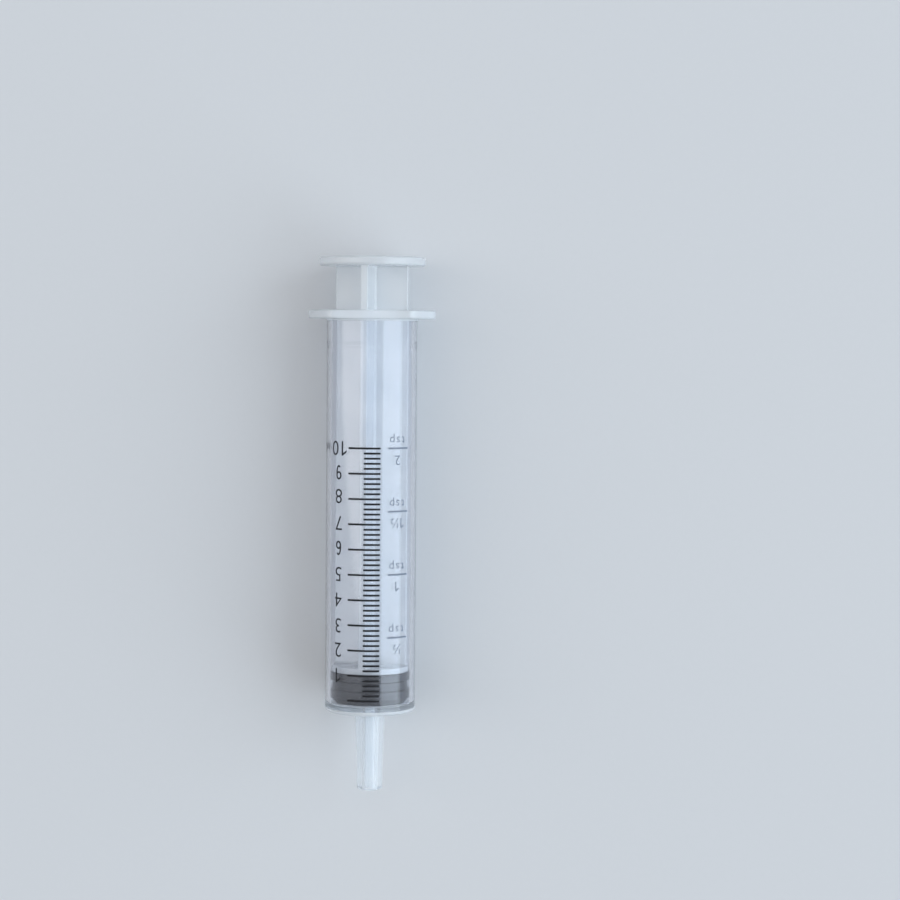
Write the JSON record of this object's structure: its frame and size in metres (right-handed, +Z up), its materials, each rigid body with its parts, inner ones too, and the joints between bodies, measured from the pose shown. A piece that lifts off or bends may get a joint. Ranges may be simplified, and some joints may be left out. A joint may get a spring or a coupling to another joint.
{
  "type": "oral syringe",
  "caption": "Oral syringe with a clear graduated barrel, wing finger flange, plain nozzle, rubber seal and a cross-ribbed plunger rod with a round thumb disc.",
  "frame": {"origin": "on the resting surface, below the middle of the bounding box; the barrel's axis is 10.6 mm above it", "axes": "lying on its side: +Z up and through the printed scale, +Y along the barrel's axis from the nozzle to the thumb disc, +X across the flange's wings"},
  "size_m": [0.0254, 0.1062, 0.0212],
  "materials": {
    "barrel": "clear moulded polypropylene, slightly cool and milky",
    "seal": "smooth dark slate rubber",
    "rod": "natural translucent white moulding",
    "ink": "screen-printed black ink",
    "faint_ink": "thin screen-printed grey ink"
  },
  "bodies": {
    "barrel": {"barrel": "barrel", "ml_scale": "ink", "spoon_scale": "faint_ink"},
    "piston": {"piston_seal": "seal"},
    "plunger": {"plunger_rod": "rod"}
  },
  "joints": [
    {"name": "plunger_slide", "type": "slide", "parent": "barrel", "child": "piston", "axis": [0, 1, 0], "range_m": [0, 0.0643]},
    {"name": "plunger_twist", "type": "hinge", "parent": "piston", "child": "plunger", "pos_m": [0, -0.0292, 0.0106], "axis": [0, 1, 0], "continuous": true}
  ]
}
